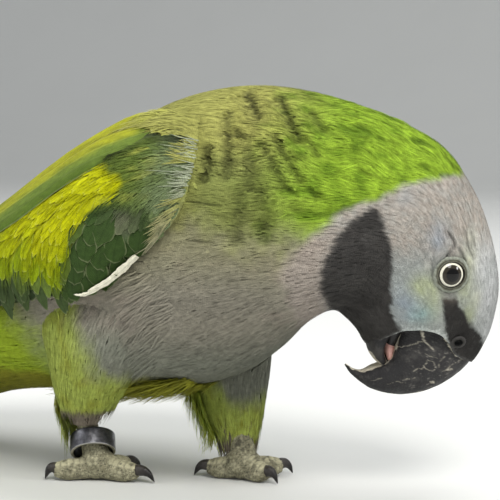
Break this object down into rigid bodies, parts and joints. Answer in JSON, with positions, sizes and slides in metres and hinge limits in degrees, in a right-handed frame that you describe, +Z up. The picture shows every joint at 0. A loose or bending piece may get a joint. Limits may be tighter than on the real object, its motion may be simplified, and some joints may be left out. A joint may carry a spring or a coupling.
{
  "type": "derbyan parakeet",
  "caption": "Life-size still model of a female Derbyan parakeet, standing with head bowed, long tail laid on the floor and a ring on the right leg.",
  "frame": {"origin": "on the floor under the middle of the whole length, bill to tail tip", "axes": "+X forwards along the body, +Y to the bird's left, +Z up"},
  "size_m": [0.3435, 0.0764, 0.0951],
  "materials": {
    "face_plumage": "matt, short dense feathers",
    "green_plumage": "matt, soft feathers",
    "breast_plumage": "matt, soft feathers",
    "wing_plumage": "satin, close feathers",
    "flight_feather": "satin, stiff feathers",
    "tail_feather": "satin, stiff feathers",
    "leg_plumage": "matt, soft feathers",
    "foot_skin": "matt, pebbled scales",
    "bill_horn": "worn horn",
    "claw_horn": "polished horn",
    "tongue_flesh": "moist",
    "eye_wet": "wet, clear",
    "ring_metal": "dark, worn"
  },
  "bodies": {
    "root": {"head": "face_plumage", "neck": "green_plumage", "trunk": "breast_plumage", "tail_coverts": "green_plumage", "tail_feathers": "tail_feather", "upper_mandible": "bill_horn", "lower_mandible": "bill_horn", "tongue": "tongue_flesh", "eye_right": "eye_wet", "wing_right": "wing_plumage", "primaries_right": "flight_feather", "thigh_right": "leg_plumage", "tarsus_right": "foot_skin", "foot_right": "foot_skin", "claw_right_1": "claw_horn", "claw_right_2": "claw_horn", "claw_right_3": "claw_horn", "claw_right_4": "claw_horn", "eye_left": "eye_wet", "wing_left": "wing_plumage", "primaries_left": "flight_feather", "thigh_left": "leg_plumage", "tarsus_left": "foot_skin", "foot_left": "foot_skin", "claw_left_1": "claw_horn", "claw_left_2": "claw_horn", "claw_left_3": "claw_horn", "claw_left_4": "claw_horn", "leg_ring": "ring_metal"}
  },
  "joints": []
}
